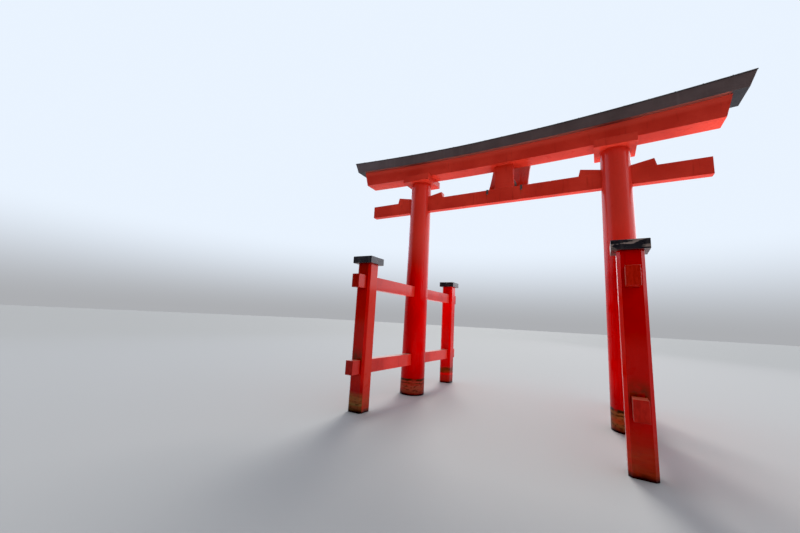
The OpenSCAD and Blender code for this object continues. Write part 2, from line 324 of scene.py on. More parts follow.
def dress(name, finish, edge):
    """Gives a CAD node its finish. Its loose triangles are joined and its flat faces made whole, so
    that a small round of the given width can ease its hard edges."""
    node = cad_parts[name]
    select_only(node)
    bpy.ops.mesh.customdata_custom_splitnormals_clear()
    bpy.ops.object.shade_smooth()
    if not node.material_slots:
        node.data.materials.append(finish)
    for slot in node.material_slots:
        slot.material = finish
    node.modifiers.new("joined corners", "WELD").merge_threshold = CORNER_GAP
    flats = node.modifiers.new("whole faces", "DECIMATE")
    flats.decimate_type = "DISSOLVE"
    flats.angle_limit = FLAT_ANGLE
    easing = node.modifiers.new("eased edges", "BEVEL")
    easing.width = edge
    easing.segments = 3
    easing.limit_method = "ANGLE"
    easing.angle_limit = EDGE_ANGLE
    easing.harden_normals = True


pillar_paint = vermilion("pillar_vermilion", "Z", PILLAR_RED, PILLAR_DEEP, PILLAR_GLOSS, pillar_soil_and_shade)
for name in ("left_pillar", "right_pillar"):
    dress(name, pillar_paint, PILLAR_EDGE)

# Four square posts brace the pillars in front and behind. Each is timber with its corners cut off,
# painted like the pillars. The front pair stand in silt, and their red is painted darker than the
# back pair's: painted shade on the front pair, painted light on the back pair.

# The front posts' red is painted darker, as painted shade.
FRONT_SHADED_RED = (0.600, 0.0050, 0.0020)
FRONT_SHADED_DEEP = (0.490, 0.0040, 0.0014)
# The front posts' sides towards the middle of the gate are painted brighter: painted light.
FRONT_INNER_LIGHT = (0.850, 0.0080, 0.0020)
FRONT_INNER_WARM_LIGHT = (0.690, 0.0230, 0.0060)
# A pale salmon painted on the right legs' sides towards the middle: a painted sun glare.
SUNLIT_SIDE_GLARE = (0.840, 0.2500, 0.1700)
# Painted shade down the left front post's front, deepest under its cap.
LEFT_FRONT_SHADE = (0.160, 0.0140, 0.0040)
FRONT_SHADE_FOOT = 0.62
FRONT_SHADE_FULL = 0.1
BEAM_PATCH = (0.085, 0.0220, 0.0060)
BEAM_PATCH_HALF = (0.06, 0.20)
BEAM_PATCH_H = 0.34
SILT = (0.230, 0.1300, 0.0460)
FRONT_MARKS = ((0.05, 0.04, 0.5), (0.10, 0.18, 0.15))
# The back posts' red is painted lighter, as painted light.
BACK_LIT_RED = (0.720, 0.0030, 0.0020)
BACK_LIT_DEEP = (0.600, 0.0016, 0.0014)
BACK_WASHED = (0.300, 0.0080, 0.0080)
WASHED_TOP = (0.34, 0.40)
WASHED_FOOT = (0.04, 0.12)
CLEAN_LINE_Z = 0.31
CLEAN_LINE_HALF = (0.01, 0.06)
THIN_SILT = (0.130, 0.0320, 0.0080)
BACK_MARKS = ((0.50, 0.07, 0.4),)
POST_GLOSS = 0.9
POST_EDGE = 0.005


def from_centre(tree):
    """How far a spot lies from the middle of the gate, on either side, in metres."""
    return reckon(tree, "ABSOLUTE", object_axis(tree, "X"))


def front_side(tree):
    """1 on what faces the front."""
    return facing_share(tree, "Y", -0.75, -0.95)


def middle_of(name):
    """The middle of a CAD node's box."""
    low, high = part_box(name)
    return (low + high) / 2


def front_post_soil_and_light(tree, colour):
    """Thick silt on the left post's foot, and a thin film higher up the right one. Each has a darker
    patch just over its lower beam. The left one's front is painted darker, as painted shade, most
    under its cap. Both are painted brighter on their sides towards the middle of the gate, as painted
    light, and the left one is cleaner there. The right one's side there also carries a painted sun
    glare in streaks."""
    height = object_axis(tree, "Z")
    cap_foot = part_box("left_front_cap")[0].z
    front_shade = level(tree, height, cap_foot - FRONT_SHADE_FOOT, cap_foot - FRONT_SHADE_FULL, 0.35, 0.6)
    front_shade = together(tree, front_shade, by_side(tree, 1.0, 0.0), front_side(tree))
    colour = blend(tree, front_shade, colour, LEFT_FRONT_SHADE)
    right_inner = together(tree, by_side(tree, 0.0, 1.0), facing_share(tree, "X", -0.45, -0.68))
    left_inner = together(tree, by_side(tree, 1.0, 0.0), facing_share(tree, "X", 0.80, 0.95))
    colour = blend(tree, together(tree, right_inner, 0.9), colour, FRONT_INNER_LIGHT)
    colour = blend(tree, together(tree, left_inner, 0.9), colour, FRONT_INNER_WARM_LIGHT)
    low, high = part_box("right_lower_tie")
    from_beam = away_from(tree, from_centre(tree), middle_of("right_lower_tie").x)
    # A darker patch on the front, just over the lower beam.
    beam_patch = together(
        tree,
        level(tree, from_beam, *BEAM_PATCH_HALF, 1.0, 0.25),
        fade(tree, height, high.z, high.z + BEAM_PATCH_H, 0.95),
        level(tree, height, low.z, high.z),
        level(tree, mottle(tree, 7.0, (1, 1, 0.8), detail=5.0, shift=12.0), 0.34, 0.54, 0.4, 1.0),
        front_side(tree),
    )
    colour = blend(tree, beam_patch, colour, BEAM_PATCH)
    cover = together(tree, by_side(tree, 0.96, 0.30), level(tree, left_inner, 0.0, 1.0, 1.0, 0.3))
    colour, dirt = foot_soil(
        tree, colour, damp=0.8, film=SILT, full=by_side(tree, 0.30, 0.14), top=by_side(tree, 0.48, 0.80),
        cover=cover, marks=FRONT_MARKS)
    streaks = level(tree, mottle(tree, 9.0, (1, 1, 0.12), detail=4.0, shift=19.0), 0.34, 0.62, 0.12, 0.34)
    # The right post's side towards the middle takes a painted sun glare, in streaks.
    faded = together(tree, by_side(tree, 0.0, 1.0), facing_share(tree, "X", -0.90, -0.98), streaks)
    return blend(tree, faded, colour, SUNLIT_SIDE_GLARE), dirt


def back_post_soil(tree, colour):
    """A brown band above the usual waterline, a clean line under it, and dull paint below that."""
    colour, dirt = foot_soil(
        tree, colour, damp=1.7, film=THIN_SILT, full=0.48, top=0.60, cover=0.80, marks=BACK_MARKS)
    height = stain_height(tree)
    washed = together(tree, fade(tree, height, *WASHED_TOP, 0.8), level(tree, height, *WASHED_FOOT))
    colour = blend(tree, washed, colour, BACK_WASHED)
    clean = fade(tree, away_from(tree, height, CLEAN_LINE_Z), *CLEAN_LINE_HALF, 0.75)
    return blend(tree, clean, colour, BACK_LIT_DEEP), dirt


front_post_paint = vermilion("front_post_shaded_vermilion", "Z", FRONT_SHADED_RED, FRONT_SHADED_DEEP, POST_GLOSS, front_post_soil_and_light)
back_post_paint = vermilion("back_post_lit_vermilion", "Z", BACK_LIT_RED, BACK_LIT_DEEP, POST_GLOSS, back_post_soil)
for side in ("left", "right"):
    dress(f"{side}_front_post", front_post_paint, POST_EDGE)
    dress(f"{side}_back_post", back_post_paint, POST_EDGE)

# Each post wears a square timber cap, pitched to its middle so that rain runs off, and painted a
# glossy black. The weather has lifted the paint in places, down to the grey-brown wood.

CAP_BLACK = (0.013, 0.012, 0.017)
CAP_FADED = (0.090, 0.076, 0.076)
# The caps' undersides are painted reddish: a painted reflection of the red posts below.
CAP_UNDERSIDE_REFLECTION = (0.085, 0.034, 0.034)
CAP_ROUGHNESS = 0.20
BARE_WOOD = (0.270, 0.205, 0.185)
# A pale colour for the right caps' inner sides: a painted sun glare.
CAP_SIDE_GLARE = (0.540, 0.440, 0.405)
BLACK_BRUSH_DEPTH = 0.0008
FLAKE_DEPTH = 0.0008
CAP_EDGE = 0.005


def toned(colour, factor):
    """A colour made lighter or darker by a factor."""
    return tuple(factor * part for part in colour)


def underside(tree):
    """1 on what looks straight down."""
    return facing_share(tree, "Z", -0.80, -0.97)


def black_paint(name, brushed, body, faded, painted_underside, roughness, peeled=None):
    """Black paint on timber, brushed along one axis: faded and streaked by rain where it is open to
    the weather, and dusty on top. What looks straight down takes the colour painted_underside, a
    painted shade or a painted reflection. roughness is that of its smoothest parts. peeled gives the
    share that says how easily it has come off the wood."""
    finish, tree, shader = new_finish(name)
    tone = level(tree, mottle(tree, 1.4, detail=5.0, shift=1.0), 0.38, 0.62)
    colour = blend(tree, together(tree, tone, 0.5), body, toned(body, 1.5))
    brush = mottle(tree, 70.0, drawn_out(brushed), shift=5.0)
    colour = blend(tree, level(tree, brush, 0.48, 0.72, end=0.22), colour, faded)
    runs = mottle(tree, 11.0, (1, 1, 0.05), detail=4.0, shift=7.0)
    colour = blend(tree, level(tree, runs, 0.54, 0.72, end=0.22), colour, faded)
    uneven = mottle(tree, 4.0, detail=5.0, shift=2.0)
    rough = level(tree, uneven, 0.3, 0.7, roughness, roughness + 0.14)
    relief = emboss(tree, shader, mottle(tree, 1.9, detail=2.0, shift=3.0), WAVE_DEPTH)
    relief = emboss(tree, shader, brush, BLACK_BRUSH_DEPTH, relief)
    if peeled is not None:
        flakes = mottle(tree, 17.0, (0.22, 1, 1), detail=7.0, shift=14.0)
        patches = together(tree, mottle(tree, 4.0, detail=2.0, shift=17.0), 0.8)
        hold = level(tree, peeled(tree), 0.0, 1.0, 1.20, 0.86)
        past_hold = reckon(tree, "SUBTRACT", reckon(tree, "ADD", flakes, patches), hold)
        worn = level(tree, past_hold, 0.0, 0.035)
        wood = blend(tree, level(tree, brush, 0.42, 0.58), BARE_WOOD, toned(BARE_WOOD, 0.4))
        colour = blend(tree, worn, colour, wood)
        rough = reckon(tree, "ADD", rough, together(tree, worn, 0.35))
        emboss(tree, shader, worn, -FLAKE_DEPTH, relief)
    colour = blend(tree, underside(tree), colour, painted_underside)
    dust = together(tree, facing_share(tree, "Z", 0.30, 0.90), level(tree, tone, 0.0, 1.0, 0.35, 0.75))
    put(tree, shader.inputs["Base Color"], blend(tree, dust, colour, faded))
    put(tree, shader.inputs["Roughness"], reckon(tree, "ADD", rough, together(tree, dust, 0.3)))
    put(tree, shader.inputs["Specular IOR Level"], 0.5)
    return finish


def repaint(finish, share, over):
    """Lays a colour over what a finish has so far, by a share from 0 to 1."""
    socket = finish.node_tree.nodes["Principled BSDF"].inputs["Base Color"]
    put(finish.node_tree, socket, blend(finish.node_tree, share, socket.links[0].from_socket, over))


def cap_peeling(tree):
    """The caps on the right have lost much more of their paint than those on the left, most of all
    towards the middle of the gate."""
    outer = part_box("right_front_cap")[1].x
    outwards = level(tree, object_axis(tree, "X"), middle_of("right_front_cap").x, outer, 1.0, 0.55)
    return together(tree, by_side(tree, 0.15, 0.9), outwards)


def right_inner_side(tree):
    """1 on the right legs' sides towards the middle of the gate."""
    return together(tree, by_side(tree, 0.0, 1.0), facing_share(tree, "X", -0.80, -0.95))


def paint_caps():
    """The caps' black. On the right ones the side towards the middle of the gate is painted pale
    along a grain pattern: a painted sun glare."""
    finish = black_paint("cap_black", "X", CAP_BLACK, CAP_FADED, CAP_UNDERSIDE_REFLECTION, CAP_ROUGHNESS, cap_peeling)
    tree = finish.node_tree
    grain = level(tree, mottle(tree, 30.0, (1, 0.12, 1), detail=5.0, shift=6.0), 0.36, 0.60, 0.20, 0.95)
    repaint(finish, together(tree, right_inner_side(tree), grain), CAP_SIDE_GLARE)
    return finish


cap_paint = paint_caps()
for side in ("left", "right"):
    for end in ("front", "back"):
        dress(f"{side}_{end}_cap", cap_paint, CAP_EDGE)

# Two tie beams on each side run from post to post through the pillar. Their ends stand out beyond
# the posts, sawn square; the end grain has drunk the paint and weathered to a browner red.

TIE_RED = (0.640, 0.0360, 0.0270)
TIE_DEEP = (0.520, 0.0200, 0.0145)
STUB_TOP_SHADE = (0.620, 0.0900, 0.0450)
END_RED = (0.540, 0.0190, 0.0110)
END_DARK = (0.440, 0.0140, 0.0080)
END_DEPTH = 0.004
STUB_START = 0.02
TIE_GLOSS = 0.8
TIE_EDGE = 0.008


def paint_ties():
    """The beams' vermilion. The tops of their stubs in front are painted darker, as painted shadow
    from the posts, and on the right the stubs' sides towards the middle of the gate carry a painted
    sun glare. The two sawn ends show darker, ringed end grain."""
    finish = vermilion("tie_vermilion", "Y", TIE_RED, TIE_DEEP, TIE_GLOSS)
    tree = finish.node_tree
    along = object_axis(tree, "Y")
    post_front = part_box("right_front_post")[0].y
    stub = level(tree, along, post_front + STUB_START, post_front)
    # Painted shadow of the post on the stubs' tops; painted sun glare on the right stubs' inner sides.
    repaint(finish, together(tree, stub, upper_side(tree), 0.85), STUB_TOP_SHADE)
    repaint(finish, together(tree, stub, right_inner_side(tree), 0.30), SUNLIT_SIDE_GLARE)
    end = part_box("left_upper_tie")[1].y
    at_end = level(tree, reckon(tree, "ABSOLUTE", along), end - END_DEPTH, end - END_DEPTH / 4)
    rings = level(tree, mottle(tree, 16.0, (1.6, 0.01, 0.5), detail=4.0, shift=2.0), 0.40, 0.62)
    darker = tree.nodes.new("ShaderNodeVectorMath")
    darker.operation = "SCALE"
    put(tree, darker.inputs[0], blend(tree, rings, END_RED, END_DARK))
    put(tree, darker.inputs["Scale"], by_side(tree, 0.65, 1.0))
    repaint(finish, at_end, darker.outputs[0])
    return finish


tie_paint = paint_ties()
for side in ("left", "right"):
    for storey in ("upper", "lower"):
        dress(f"{side}_{storey}_tie", tie_paint, TIE_EDGE)

# A square plate on each pillar spreads the load of the top beams. The shimagi, the lower of the
# two top beams, is a heavy curved timber with raked ends, housed over both plates.

BEAM_RED = (0.680, 0.0560, 0.0380)
BEAM_DEEP = (0.550, 0.0380, 0.0260)
# Painted light under the kasagi's overhang.
BEAM_OVERHANG_LIGHT = (0.860, 0.1000, 0.0700)
BEAM_GLOSS = 0.35
STRAIGHT_HALF = 0.6
CURVE_POWER = 1.65
OVERHANG_LIGHT_H = 0.20
TOP_PLATE_EDGE = 0.005
SHIMAGI_EDGE = 0.006


def lit_under_overhang(tree, colour):
    """Close under the kasagi's overhang the red is painted brighter: painted light that lifts the
    shade there. The joint between the two beams curves up from the ends of a straight middle."""
    joint_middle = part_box("kasagi")[0].z
    joint_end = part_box("shimagi")[1]
    past_straight = reckon(tree, "SUBTRACT", from_centre(tree), STRAIGHT_HALF)
    run = reckon(tree, "DIVIDE", reckon(tree, "MAXIMUM", past_straight, 0.0), joint_end.x - STRAIGHT_HALF)
    rise = together(tree, reckon(tree, "POWER", run, CURVE_POWER), joint_end.z - joint_middle)
    depth = reckon(tree, "SUBTRACT", reckon(tree, "ADD", rise, joint_middle), object_axis(tree, "Z"))
    return blend(tree, fade(tree, depth, 0.0, OVERHANG_LIGHT_H, 0.9), colour, BEAM_OVERHANG_LIGHT), None


beam_paint = vermilion("beam_vermilion", "X", BEAM_RED, BEAM_DEEP, BEAM_GLOSS)
shimagi_paint = vermilion("shimagi_vermilion", "X", BEAM_RED, BEAM_DEEP, BEAM_GLOSS, lit_under_overhang)
for side in ("left", "right"):
    dress(f"{side}_top_plate", beam_paint, TOP_PLATE_EDGE)
dress("shimagi", shimagi_paint, SHIMAGI_EDGE)

# The nuki runs below the shimagi through both pillars, held by a pair of wedges at each, and a
# short strut stands between the two beams. Rust from the plaque's hooks has run down the nuki.

RUST_RUN = (0.120, 0.0300, 0.0100)
RUST_RUN_L = 0.26
RUST_RUN_START = 0.01
RUST_RUN_HALF = (0.008, 0.034)
NUKI_EDGE = 0.005
WEDGE_EDGE = 0.004


def hook_rust(tree, colour):
    """Thin rusty runs on the front of the nuki, from the foot of each hook's leg downwards."""
    leg_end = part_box("right_plaque_hook")[0].z
    height = object_axis(tree, "Z")
    from_leg = away_from(tree, from_centre(tree), middle_of("right_plaque_hook").x)
    run = together(
        tree,
        fade(tree, from_leg, *RUST_RUN_HALF),
        front_side(tree),
        level(tree, height, leg_end - RUST_RUN_L, leg_end),
        fade(tree, height, leg_end, leg_end + RUST_RUN_START),
        level(tree, mottle(tree, 60.0, (1, 1, 0.03), shift=21.0), 0.40, 0.62, end=0.75),
    )
    return blend(tree, run, colour, RUST_RUN), None


nuki_paint = vermilion("nuki_vermilion", "X", BEAM_RED, BEAM_DEEP, BEAM_GLOSS, hook_rust)
dress("nuki", nuki_paint, NUKI_EDGE)
dress("centre_strut", beam_paint, NUKI_EDGE)
for side in ("left", "right"):
    for end in ("outer", "inner"):
        dress(f"{side}_{end}_wedge", beam_paint, WEDGE_EDGE)

# The kasagi is the topmost beam, black, curved up to its raked ends, with a ridge along its back.
# Along the joint its underside is painted red and lighter: a painted reflection of the shimagi,
# and painted light.

KASAGI_BLACK = (0.078, 0.054, 0.056)
KASAGI_FADED = (0.160, 0.122, 0.122)
# The kasagi's underside is sound paint, painted darker and bluer still as painted shade and a painted sky
# reflection.
KASAGI_UNDERSIDE_SHADE = (0.012, 0.011, 0.017)
KASAGI_ROUGHNESS = 0.32
# Painted reflection and painted light along the kasagi's underside by the joint.
SOFFIT_RED_REFLECTION = (0.240, 0.070, 0.060)
SOFFIT_REFLECTION_END = 0.1
KASAGI_EDGE = 0.006


def paint_kasagi():
    """The kasagi's black, with a painted red reflection and painted light as far along its underside
    as the joint goes.
    """
    finish = black_paint("kasagi_black", "X", KASAGI_BLACK, KASAGI_FADED, KASAGI_UNDERSIDE_SHADE, KASAGI_ROUGHNESS)
    tree = finish.node_tree
    joint_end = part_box("shimagi")[1].x
    along_joint = fade(tree, from_centre(tree), joint_end - SOFFIT_REFLECTION_END, joint_end)
    repaint(finish, together(tree, along_joint, underside(tree)), SOFFIT_RED_REFLECTION)
    return finish


kasagi_paint = paint_kasagi()
dress("kasagi", kasagi_paint, KASAGI_EDGE)

# Its top is covered with thin sheet metal, painted black too: trays joined by upright seams, with
# a folded lip that hangs over the edge of the timber along both eaves.

SHEET_BLACK = (0.040, 0.034, 0.036)
SHEET_FADED = (0.120, 0.105, 0.100)
SHEET_ROUGHNESS = 0.34
SHEET_LIFT = 0.001
SHEET_T = 0.0025
SEAM_W = 0.012
SEAM_H = 0.010
LIP_OUT = 0.004
LIP_DROP = 0.030
STATIONS_A_SIDE = 20
STATIONS_A_TRAY = 2
STEEPEST_TOP = 0.6
DOUBLES_GAP = 0.0002
CLOSE = 0.001
SMOOTH_ANGLE = math.radians(35)


def edit(piece):
    """Opens one piece in edit mode, with nothing selected."""
    select_only(piece)
    bpy.ops.object.mode_set(mode="EDIT")
    bpy.ops.mesh.select_all(action="DESELECT")


def pick_faces(piece, wanted):
    """Selects the faces of the piece being edited for which wanted(centre, normal) holds."""
    bpy.ops.mesh.select_mode(type="FACE")
    bpy.ops.mesh.select_all(action="DESELECT")
    bpy.ops.object.mode_set(mode="OBJECT")
    for face in piece.data.polygons:
        face.select = wanted(face.center, face.normal)
    bpy.ops.object.mode_set(mode="EDIT")


def pick_edges(piece, wanted):
    """Selects the edges of the piece being edited for which wanted(start, end, is_rim) holds."""
    bpy.ops.mesh.select_mode(type="EDGE")
    bpy.ops.mesh.select_all(action="DESELECT")
    bpy.ops.object.mode_set(mode="OBJECT")
    mesh = piece.data
    faces_at = Counter(key for face in mesh.polygons for key in face.edge_keys)
    for edge in mesh.edges:
        start, end = (mesh.vertices[i].co for i in edge.vertices)
        edge.select = wanted(start, end, faces_at[edge.key] == 1)
    bpy.ops.object.mode_set(mode="EDIT")


def apply_all(piece):
    """Applies a piece's modifiers, in their order."""
    select_only(piece)
    for modifier in list(piece.modifiers):
        bpy.ops.object.modifier_apply(modifier=modifier.name)


def hand_over(piece, finish):
    """Finishes a modelled piece: smooth but for its hard edges, painted, and riding on the gate."""
    select_only(piece)
    bpy.ops.object.shade_smooth_by_angle(angle=SMOOTH_ANGLE)
    piece.modifiers.new("flat faces", "WEIGHTED_NORMAL").keep_sharp = True
    apply_all(piece)
    piece.data.materials.clear()
    piece.data.materials.append(finish)
    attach(piece, "root")


def model_sheet():
    """The covering of the kasagi, raised from a merged copy of the timber's two upper slopes. Their
    curve is made of short straight runs, and a seam stands where every second run ends."""
    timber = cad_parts["kasagi"]
    sheet = bpy.data.objects.new("kasagi_sheet", timber.data.copy())
    bpy.context.scene.collection.objects.link(sheet)
    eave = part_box("kasagi")[1].y
    tray = STATIONS_A_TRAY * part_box("shimagi")[1].x / STATIONS_A_SIDE
    edit(sheet)
    bpy.ops.mesh.select_all(action="SELECT")
    bpy.ops.mesh.remove_doubles(threshold=DOUBLES_GAP)
    bpy.ops.mesh.tris_convert_to_quads()
    pick_faces(sheet, lambda centre, normal: normal.z < STEEPEST_TOP)
    bpy.ops.mesh.delete(type="FACE")
    bpy.ops.mesh.select_all(action="SELECT")
    bpy.ops.transform.translate(value=(0, 0, SHEET_LIFT))
    pick_edges(sheet, lambda start, end, rim: not rim and abs(start.x - end.x) < CLOSE
               and abs(start.x / tray - round(start.x / tray)) < 0.01)
    bpy.ops.mesh.bevel(offset=SEAM_W / 2, segments=1, affect="EDGES")
    bpy.ops.mesh.extrude_region_move(TRANSFORM_OT_translate={"value": (0, 0, SEAM_H)})
    for way in (-1, 1):
        pick_edges(sheet, lambda start, end, rim: rim and min(way * start.y, way * end.y) > eave - CLOSE)
        bpy.ops.mesh.extrude_region_move(TRANSFORM_OT_translate={"value": (0, way * LIP_OUT, -LIP_DROP)})
    bpy.ops.object.mode_set(mode="OBJECT")
    shell = sheet.modifiers.new("thickness", "SOLIDIFY")
    shell.thickness = SHEET_T
    shell.offset = 1.0
    apply_all(sheet)
    return sheet


sheet_paint = black_paint("sheet_black", "X", SHEET_BLACK, SHEET_FADED, KASAGI_UNDERSIDE_SHADE, SHEET_ROUGHNESS)
hand_over(model_sheet(), sheet_paint)

# The plaque hangs behind the strut and leans outwards: planks in a flared frame, bare, held together
# by two battens up its back. A narrow bead runs round the planks on the side away from the strut.

PLAQUE_RED = (0.600, 0.0450, 0.0240)
PLAQUE_DEEP = (0.460, 0.0320, 0.0170)
FRAME_EDGE = 0.008
BATTEN_EDGE = 0.003
PLAQUE_TILT = math.radians(30)
BOARD_T = 0.036
PLANKS = 8
PLANK_GAP = 0.001
PLANK_ROUND = 0.004
BEAD_W = 0.022
BEAD_H = 0.020
BEAD_ROUND = 0.016

plaque_paint = vermilion("plaque_vermilion", "X", PLAQUE_RED, PLAQUE_DEEP, BEAM_GLOSS)
dress("plaque_frame", plaque_paint, FRAME_EDGE)
for side in ("left", "right"):
    dress(f"{side}_batten", plaque_paint, BATTEN_EDGE)

board_low, board_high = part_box("plaque_board")
board_w = board_high.x - board_low.x
board_l = (board_high.z - board_low.z - BOARD_T * math.sin(PLAQUE_TILT)) / math.cos(PLAQUE_TILT)
board_foot = Vector((0, board_low.y, board_low.z + BOARD_T * math.sin(PLAQUE_TILT)))
up_plaque = Vector((0, math.sin(PLAQUE_TILT), math.cos(PLAQUE_TILT)))
out_of_back = Vector((0, -math.cos(PLAQUE_TILT), math.sin(PLAQUE_TILT)))
plaque_turn = Matrix(((1, 0, 0), up_plaque, out_of_back)).transposed().to_4x4()
on_plaque = Matrix.Translation(board_foot) @ plaque_turn


def place(piece, matrix):
    """Sets a piece in its place by its mesh, so that its object stays at the origin."""
    piece.data.transform(matrix)
    piece.data.update()


def start_box(name, size, middle):
    """A box of a size about a middle, open in edit mode, to be shaped into a piece."""
    bpy.ops.object.select_all(action="DESELECT")
    bpy.ops.mesh.primitive_cube_add(size=1)
    piece = bpy.context.active_object
    piece.name = name
    edit(piece)
    bpy.ops.mesh.select_all(action="SELECT")
    bpy.ops.transform.resize(value=size)
    bpy.ops.transform.translate(value=middle)
    return piece


def model_planks():
    """One plank with eased long edges, repeated up the plaque."""
    width = board_l / PLANKS
    size = (board_w, width - PLANK_GAP, BOARD_T)
    planks = start_box("plaque_planks", size, (0, width / 2, -BOARD_T / 2))
    pick_edges(planks, lambda start, end, rim: abs(start.x - end.x) > board_w / 2)
    bpy.ops.mesh.bevel(offset=PLANK_ROUND, segments=2, affect="EDGES")
    bpy.ops.object.mode_set(mode="OBJECT")
    rows = planks.modifiers.new("rows", "ARRAY")
    rows.count = PLANKS
    rows.use_relative_offset = False
    rows.use_constant_offset = True
    rows.constant_offset_displace = (0, width, 0)
    apply_all(planks)
    return planks


def model_bead():
    """A strip round the opening of the frame, with its inner corner rounded off."""
    bpy.ops.object.select_all(action="DESELECT")
    bpy.ops.mesh.primitive_plane_add(size=1)
    bead = bpy.context.active_object
    bead.name = "plaque_bead"
    edit(bead)
    bpy.ops.mesh.select_all(action="SELECT")
    bpy.ops.transform.resize(value=(board_w, board_l, 1))
    bpy.ops.transform.translate(value=(0, board_l / 2, -BOARD_T))
    bpy.ops.mesh.inset(thickness=BEAD_W)
    bpy.ops.mesh.delete(type="FACE")
    bpy.ops.mesh.select_all(action="SELECT")
    bpy.ops.mesh.extrude_region_move(TRANSFORM_OT_translate={"value": (0, 0, -BEAD_H)})
    bpy.ops.mesh.select_all(action="SELECT")
    bpy.ops.mesh.normals_make_consistent(inside=False)
    inner_x = board_w / 2 - BEAD_W
    inner_y = board_l / 2 - BEAD_W
    face_z = -BOARD_T - BEAD_H

    def at_inner_corner(spot):
        """Whether a point lies on the bead's face, where the face meets its inner side."""
        return (spot.z < face_z + CLOSE and abs(spot.x) < inner_x + CLOSE
                and abs(spot.y - board_l / 2) < inner_y + CLOSE)

    pick_edges(bead, lambda start, end, rim: at_inner_corner(start) and at_inner_corner(end))
    bpy.ops.mesh.bevel(offset=BEAD_ROUND, segments=5, affect="EDGES")
    bpy.ops.object.mode_set(mode="OBJECT")
    return bead


plaque_planks = model_planks()
place(plaque_planks, on_plaque)
hand_over(plaque_planks, plaque_paint)
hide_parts("plaque_board")

plaque_bead = model_bead()
place(plaque_bead, on_plaque)
hand_over(plaque_bead, plaque_paint)

# Its irons: two hooks over the nuki take its foot, and four flat stays tie it to the strut and the
# shimagi. Hexagon bolts with washers fix the hooks, and a small foot plate each end of a stay.

OLD_PAINT = (0.045, 0.058, 0.056)
WORN_PAINT = (0.080, 0.100, 0.098)
RUST = (0.115, 0.036, 0.014)
PIT_DEPTH = 0.0006
IRON_EDGE = 0.002
BOLT_AF = 0.024
BOLT_HEAD = 0.010
BOLT_TURNED_IN = 0.002
BOLT_TURNED_H = 0.0015
WASHER_R = 0.021
WASHER_T = 0.003
WASHER_EDGE = 0.001
HOOK_BOLT_DROPS = {"upper": 0.3, "lower": 0.78}
PLATE_W = 0.060
PLATE_T = 0.006
PLATE_CORNER = 0.010


def iron(name):
    """Forged iron, grey-green with old paint, with rust along its faces."""
    finish, tree, shader = new_finish(name)
    tone = level(tree, mottle(tree, 9.0, detail=4.0), 0.38, 0.62)
    colour = blend(tree, tone, OLD_PAINT, WORN_PAINT)
    rust = level(tree, mottle(tree, 23.0, (1, 1, 0.5), detail=5.0, shift=4.0), 0.56, 0.68)
    colour = blend(tree, together(tree, rust, 0.8), colour, RUST)
    put(tree, shader.inputs["Base Color"], colour)
    put(tree, shader.inputs["Roughness"], level(tree, rust, 0.0, 1.0, 0.45, 0.88))
    emboss(tree, shader, mottle(tree, 120.0, detail=4.0), PIT_DEPTH)
    return finish


def model_bolt():
    """A hexagon head with its top corners turned off, on a round washer. It stands on z = 0."""
    bpy.ops.object.select_all(action="DESELECT")
    corner_radius = BOLT_AF / math.sqrt(3)
    bpy.ops.mesh.primitive_cylinder_add(vertices=6, radius=corner_radius, depth=BOLT_HEAD)
    bolt = bpy.context.active_object
    edit(bolt)
    bpy.ops.mesh.select_all(action="SELECT")
    bpy.ops.transform.translate(value=(0, 0, WASHER_T + BOLT_HEAD / 2))
    pick_faces(bolt, lambda centre, normal: normal.z > 0.9)
    bpy.ops.mesh.inset(thickness=BOLT_TURNED_IN)
    bpy.ops.transform.translate(value=(0, 0, BOLT_TURNED_H))
    bpy.ops.mesh.select_all(action="DESELECT")
    bpy.ops.mesh.primitive_cylinder_add(
        vertices=20, radius=WASHER_R, depth=WASHER_T, location=(0, 0, WASHER_T / 2))
    pick_edges(bolt, lambda start, end, rim: abs(start.z - WASHER_T) < CLOSE
               and abs(end.z - WASHER_T) < CLOSE and start.xy.length > WASHER_R - CLOSE)
    bpy.ops.mesh.bevel(offset=WASHER_EDGE, segments=2, affect="EDGES")
    bpy.ops.object.mode_set(mode="OBJECT")
    return bolt


def facing(direction, spot):
    """The matrix that stands a piece, made upright on z = 0, on a spot and facing a direction."""
    return Matrix.Translation(spot) @ Vector(direction).to_track_quat("Z", "Y").to_matrix().to_4x4()


def repeat(model, name, matrix):
    """A copy of a modelled piece with its own mesh, in its place."""
    copy = bpy.data.objects.new(name, model.data.copy())
    bpy.context.scene.collection.objects.link(copy)
    place(copy, matrix)
    return copy


def model_plate(bolt, length):
    """A foot plate with rounded corners, standing on z = 0 with its length along Y, and two bolts."""
    plate = start_box("foot_plate", (PLATE_W, length, PLATE_T), (0, 0, PLATE_T / 2))
    pick_edges(plate, lambda start, end, rim: abs(start.z - end.z) > PLATE_T / 2)
    bpy.ops.mesh.bevel(offset=PLATE_CORNER, segments=4, affect="EDGES")
    bpy.ops.object.mode_set(mode="OBJECT")
    select_only(plate)
    for way in (-1, 1):
        copy = repeat(bolt, "bolt", Matrix.Translation((0, way * length / 4, PLATE_T)))
        copy.select_set(True)
    bpy.ops.object.join()
    return plate


iron_finish = iron("stay_iron")
for side in ("left", "right"):
    dress(f"{side}_plaque_hook", iron_finish, IRON_EDGE)
    dress(f"{side}_lower_stay", iron_finish, IRON_EDGE)
    dress(f"{side}_upper_stay", iron_finish, IRON_EDGE)

